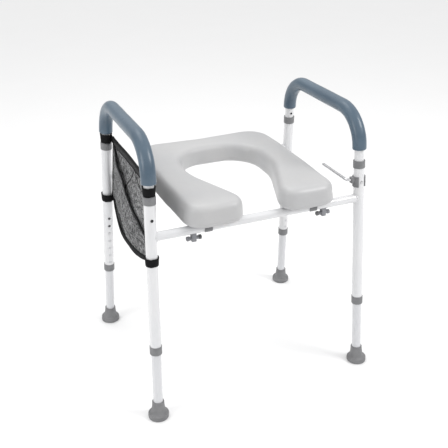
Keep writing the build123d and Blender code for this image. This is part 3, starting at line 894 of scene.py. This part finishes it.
def front_face(y, w):
    """The front panel's bulge: it eases back towards its lower edge and has soft drag lines."""
    above = w - np.interp(-y, -SAG_LINE[:, 0], SAG_LINE[:, 1])
    out = bulge(y, w) * (0.5 + 0.5 * smooth(above / 0.075))
    edge = smooth(out / 0.010)
    drag = 0.0011 * math.sin(62 * (w + 0.55 * y)) + 0.0006 * math.sin(118 * (w - 0.35 * y) + 1.3)
    return BAG_FACE - out - drag * edge


RIM_LINE = bag_line(RIM, RIM_ENDS_Z, wall_reach)
SAG_LINE = bag_line(SAG, SAG_ENDS_Z, wall_reach)
BACK_SAG = bag_line(SAG, SAG_ENDS_Z, back_reach)
HEM_W_TOP = height(BAG_TOP_Z)


def at(line, u):
    """The point a share u along an evenly stepped line."""
    i = u * (len(line) - 1)
    k = min(int(i), len(line) - 2)
    return line[k] + (line[k + 1] - line[k]) * (i - k)


def tuck(u):
    """How far the front panel's lower edge is gathered up above the bottom seam."""
    return 0.040 * smooth(u / 0.12) * (1 - smooth((u - 0.30) / 0.17))


def back_point(u, v):
    """The back panel, from its hem (v 0) to the bottom seam."""
    y_top = (side_y(HEM_W_TOP) + TOP_EDGE) * (1 - 2 * u)
    low = at(BACK_SAG, u)
    y = y_top + (low[0] - y_top) * v
    w = HEM_W_TOP + (low[1] - HEM_W_TOP) * v
    return side_point(-1, y, w, back_face(y, w))


def front_point(u, v):
    """The front panel, from the slanting rim (v 0) to its gathered lower edge."""
    high, low = at(RIM_LINE, u), at(SAG_LINE, u) + np.array((0, tuck(u)))
    y, w = high + (low - high) * v
    return side_point(-1, y, w, front_face(y, w))


def gusset_point(u, v):
    """The bottom gusset, from the front panel (v 0) to the back one."""
    y, w = at(SAG_LINE, u)
    front = front_face(y, w + tuck(u))
    back = back_face(y, w)
    n = front + (back - front) * v
    rise = tuck(u) * (1 - smooth(v * 2.2)) - 0.0025 * math.sin(math.pi * v)
    return side_point(-1, y, w + rise, n)


back_panel = panel("bag_back_panel", back_point, 90, 70, MESH_CLOTH)
front_panel = panel("bag_front_panel", front_point, 110, 60, MESH_CLOTH, flip=True)
gusset = panel("bag_gusset_panel", gusset_point, 90, 16, DARK_MESH)


def along_wall(line, standing, offset=0.0, lift=None):
    """Centres and outward directions of a tape that follows a wall curve."""
    centres, ways = [], []
    for i, (y, w) in enumerate(line):
        w = w + (lift(i / (len(line) - 1)) if lift else 0.0)
        n = standing(y, w) - offset
        centres.append(side_point(-1, y, w, n))
        ways.append(side_point(-1, y, w, n - 1) - centres[-1])
    return centres, ways


def straight(y0, w0, y1, w1, count=40):
    """An evenly stepped straight line in side-plane coordinates."""
    return np.array([(y0 + (y1 - y0) * t, w0 + (w1 - w0) * t) for t in np.linspace(0, 1, count + 1)])


# the tapes and stitches sewn to each panel, which move with it
BACK_TRIM, FRONT_TRIM, GUSSET_TRIM = [], [], []
TUCK_END = 42  # the gathered part covers this many points of the bottom line


def add_tape(trim, name, line, standing, width, thick, offset=0.0, lift=None, taper=None, mat=BINDING):
    """Sews a tape along a line of a panel."""
    centres, ways = along_wall(line, standing, offset, lift)
    trim.append(ribbon(name, centres, ways, width, thick, mat, taper))
    return trim[-1]


hem_reach = side_y(HEM_W_TOP) + TOP_EDGE
hem = straight(hem_reach, HEM_W_TOP - 0.004, -hem_reach, HEM_W_TOP - 0.004)
hem_piece = add_tape(BACK_TRIM, "bag_hem_binding", hem, back_face, 0.0100, 0.0034, 0.0004)
sheer = straight(hem_reach - 0.002, HEM_W_TOP - 0.0145, -hem_reach + 0.002, HEM_W_TOP - 0.0145)
add_tape(BACK_TRIM, "bag_hem_band", sheer, back_face, 0.0150, 0.0016, 0.0004, mat=DARK_MESH)
stitch = straight(hem_reach - 0.002, HEM_W_TOP - 0.0222, -hem_reach + 0.002, HEM_W_TOP - 0.0222)
add_tape(BACK_TRIM, "bag_hem_stitch", stitch, back_face, 0.0016, 0.0020, 0.0005)

rim_centre = RIM_LINE + np.array((0, -0.0040))
rim_piece = add_tape(FRONT_TRIM, "bag_rim_tape", rim_centre, front_face, 0.0105, 0.0028, 0.0004)
bottom = SAG_LINE + np.array((0, 0.0010))
add_tape(
    GUSSET_TRIM,
    "bag_bottom_tape",
    bottom,
    front_face,
    0.0155,
    0.0036,
    0.0014,
    taper=lambda t: 0.75 + 0.35 * math.sin(math.pi * min(1, t * 1.1)),
)
tuck_share = (TUCK_END - 1) / (len(SAG_LINE) - 1)
tuck_line = SAG_LINE[:TUCK_END]
add_tape(GUSSET_TRIM, "bag_tuck_seam", tuck_line, front_face, 0.0036, 0.0024, 0.0006, lambda t: tuck(t * tuck_share))
rear_low_w = height(SAG_ENDS_Z[0])
rear = straight(hem_reach + 0.001, HEM_W_TOP, back_reach(rear_low_w) + 0.001, rear_low_w, 60)
add_tape(BACK_TRIM, "bag_rear_tape", rear, lambda y, w: BAG_FACE, 0.0050, 0.0036)
add_tape(BACK_TRIM, "bag_front_tape", rear * np.array((-1, 1)), lambda y, w: BAG_FACE, 0.0050, 0.0036)

for name, points in (
    ("bag_seam_rear", [(-0.041, 0.6235), (-0.020, 0.592), (0.004, 0.566), (0.027, 0.543)]),
    ("bag_seam_front", [(-0.041, 0.6235), (-0.056, 0.612), (-0.072, 0.603), (-0.096, 0.592)]),
):
    line = resampled(eased([(y, height(z)) for y, z in points]), 30)
    add_tape(BACK_TRIM, name, line, back_face, 0.0022, 0.0018, 0.0003)


SNAP_Y, SNAP_W = -0.0675, height(0.6085)
snap_centre = side_point(-1, SNAP_Y, SNAP_W, back_face(SNAP_Y, SNAP_W) - 0.0008)
out = side_point(-1, 0, 0, -1) - side_point(-1, 0, 0, 0)
up = side_point(-1, 0, 1, 0) - side_point(-1, 0, 0, 0)
SNAP = [(0.05, 0.0), (2.2, 0.0), (3.0, 0.3), (3.3, 1.0), (3.1, 1.7), (2.2, 2.1), (1.5, 1.7), (1.2, 1.5)]
SNAP += [(0.2, 1.45)]
verts, faces = skin_rings(lathe(snap_centre, up, Vector((0, 1, 0)), out, in_metres(SNAP), 32))
snap = piece("bag_snap", verts, faces, BLACK_SNAP_AND_BUTTON_SHADE)


STITCH_R = 0.00036
STITCH_PITCH = 0.0042
STITCH_SIDES = 6


def stitching(trim, name, line, standing, offset):
    """A row of short raised stitches along a tape."""
    centres, ways = along_wall(resampled(line, int(run_length(line) / STITCH_PITCH)), standing, offset)
    verts, faces = [], []
    for i in range(len(centres) - 1):
        a, b = centres[i], centres[i + 1]
        along = (b - a).normalized()
        out = ways[i] - along * ways[i].dot(along)
        out.normalize()
        across = along.cross(out)
        rings = []
        for t, size in ((0.16, 0.2), (0.22, 0.8), (0.40, 1.0), (0.60, 1.0), (0.78, 0.8), (0.84, 0.2)):
            c = a + (b - a) * t + out * 0.00022 * (size - 0.6)
            turns = [TAU * k / STITCH_SIDES for k in range(STITCH_SIDES)]
            rings.append([c + (out * math.sin(g) + across * math.cos(g)) * STITCH_R * size for g in turns])
        more, sides = skin_rings(rings)
        faces += [tuple(j + len(verts) for j in f) for f in sides]
        verts += more
    trim.append(piece(name, verts, faces, THREAD))


stitching(BACK_TRIM, "bag_hem_stitches", hem + np.array((0, -0.0032)), back_face, 0.0017)
stitching(FRONT_TRIM, "bag_rim_stitches", rim_centre + np.array((0, -0.0040)), front_face, 0.0020)
stitching(FRONT_TRIM, "bag_bottom_stitches", bottom[4:-4] + np.array((0, 0.0045)), front_face, 0.0033)


# ---- Straps: hook-and-loop bands whose free ends lap over themselves
# name, side along y, lower and upper edge, tube radius, flare of the top edge
STRAPS = (
    ("upper_lf", -1, 0.6172, 0.6400, TUBE_R, 0.0030),
    ("upper_lr", 1, 0.6180, 0.6435, TUBE_R, 0.0034),
    ("lower_lf", -1, 0.4395, 0.4610, POST_R, 0.0022),
    ("lower_lr", 1, 0.4350, 0.4570, POST_R, 0.0030),
)
for tag, sy, low, high, bore, flare in STRAPS:
    base, across, side_dir, up = axis_frame(-1, sy, (low + high) / 2)
    width = (high - low) / AXIS_COS
    inner = math.radians(-sy * 72)
    turns = math.radians(360 + 62)
    steps = 120
    rings, uvs = [], []
    for i in range(steps + 1):
        t = i / steps
        a = inner + turns * t * (-sy)
        lap = smooth((t * turns - math.radians(318)) / math.radians(40))
        core = bore + 0.0014 + 0.0018 * lap
        ring = []
        for k in range(14):
            b = TAU * k / 14
            cb, sb = math.cos(b), math.sin(b)
            h = math.copysign(abs(cb) ** 0.25, cb) * width / 2
            v = math.copysign(abs(sb) ** 0.8, sb) * 0.0008
            open_up = flare * max(0.0, 2 * h / width) ** 1.5 * (0.75 + 0.25 * math.sin(a + 0.6))
            wobble = 0.0003 * math.sin(3 * a + sy) + 0.0002 * math.sin(7 * a)
            r = core + v + open_up
            ring.append(base + up * (h + wobble) + across * (r * math.cos(a)) + side_dir * (r * math.sin(a)))
            uvs.append((t * turns * bore, h))
        rings.append(ring)
    verts, faces = skin_rings(rings)
    strap = piece(f"bag_strap_{tag}", verts, faces, STRAP, uvs=uvs)
    # the tab that joins the band to the bag's corner
    tab_w = height((low + high) / 2)
    tab = 0.046 if low > 0.5 else 0.030
    line = straight(sy * (abs(base.y) - 0.004), tab_w, sy * (abs(base.y) - tab), tab_w, 16)
    centres, ways = [], []
    for i, (y, w) in enumerate(line):
        t = smooth(i / 7)
        n = (bore + 0.0012) * (1 - t) + (BAG_FACE - 0.0004) * t
        centres.append(side_point(-1, y, w, n))
        ways.append(side_point(-1, y, w, n - 1) - centres[-1])
    tab_piece = ribbon(
        f"bag_tab_{tag}",
        centres,
        ways,
        width * 0.92,
        0.0022,
        STRAP,
        taper=lambda t: 1 - 0.25 * t,
    )


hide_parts("bag_back")
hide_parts("bag_front")
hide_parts("bag_gusset")
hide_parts("bag_hem")
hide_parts("bag_rim")
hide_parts("bag_straps")


# ---- Camera, floor and light
camera = bpy.data.objects.new("camera", bpy.data.cameras.new("camera"))
SCENE.collection.objects.link(camera)
camera.location = (-0.7141, -1.6394, 1.3088)
camera.rotation_mode = "QUATERNION"
camera.rotation_quaternion = Vector((0.3498, 0.8188, -0.4553)).to_track_quat("-Z", "Y")
camera.data.sensor_width = 36.0
camera.data.lens = 56.88
camera.data.clip_end = 50.0
SCENE.camera = camera
SCENE.view_settings.view_transform = "Standard"

floor_mesh = bpy.data.meshes.new("floor")
FLOOR_HALF = 28
FLOOR_Z = -0.0003  # just under the soles, which would otherwise lie in its plane
corners = [(sx * FLOOR_HALF, sy * FLOOR_HALF, FLOOR_Z) for sx, sy in ((-1, -1), (1, -1), (1, 1), (-1, 1))]
floor_mesh.from_pydata(corners, [], [(0, 1, 2, 3)])
floor = bpy.data.objects.new("floor", floor_mesh)
SCENE.collection.objects.link(floor)
ground = Shader("floor_paint", Roughness=0.75, Specular_IOR_Level=0.2)
ground.colour(ground.mix(ground.noise(3, 2), (0.865, 0.865, 0.865), (0.88, 0.88, 0.88)))
floor_mesh.materials.append(ground.mat)

world = bpy.data.worlds.new("studio")
SCENE.world = world
world.use_nodes = True
tree = world.node_tree
back = tree.nodes["Background"]
coords = tree.nodes.new("ShaderNodeTexCoord")
split = tree.nodes.new("ShaderNodeSeparateXYZ")
ramp = tree.nodes.new("ShaderNodeValToRGB")
tree.links.new(coords.outputs["Generated"], split.inputs[0])
tree.links.new(split.outputs["Z"], ramp.inputs[0])
tree.links.new(ramp.outputs[0], back.inputs[0])
# pale at the horizon, a grey band above it, white overhead
ramp.color_ramp.elements[0].position = 0.0
ramp.color_ramp.elements[0].color = (0.80, 0.80, 0.81, 1)
ramp.color_ramp.elements[1].position = 0.55
ramp.color_ramp.elements[1].color = (1.0, 1.0, 1.0, 1)
for stop, grey in ((0.05, 0.50), (0.12, 0.32)):
    ramp.color_ramp.elements.new(stop).color = (grey, grey, grey * 1.03, 1)
back.inputs["Strength"].default_value = 1.07


def soft_light(name, place, size, power):
    """A round area light aimed at the middle of the frame."""
    light = bpy.data.lights.new(name, "AREA")
    light.shape = "DISK"
    light.size = size
    light.energy = power
    obj = bpy.data.objects.new(name, light)
    SCENE.collection.objects.link(obj)
    obj.location = place
    obj.rotation_mode = "QUATERNION"
    obj.rotation_quaternion = (Vector((0, 0, 0.4)) - Vector(place)).to_track_quat("-Z", "Y")


soft_light("key", (1.6, -1.3, 2.3), 0.9, 27)
soft_light("fill", (-2.2, -0.4, 1.3), 1.0, 12)
soft_light("top", (-0.3, 0.9, 2.8), 1.6, 14)
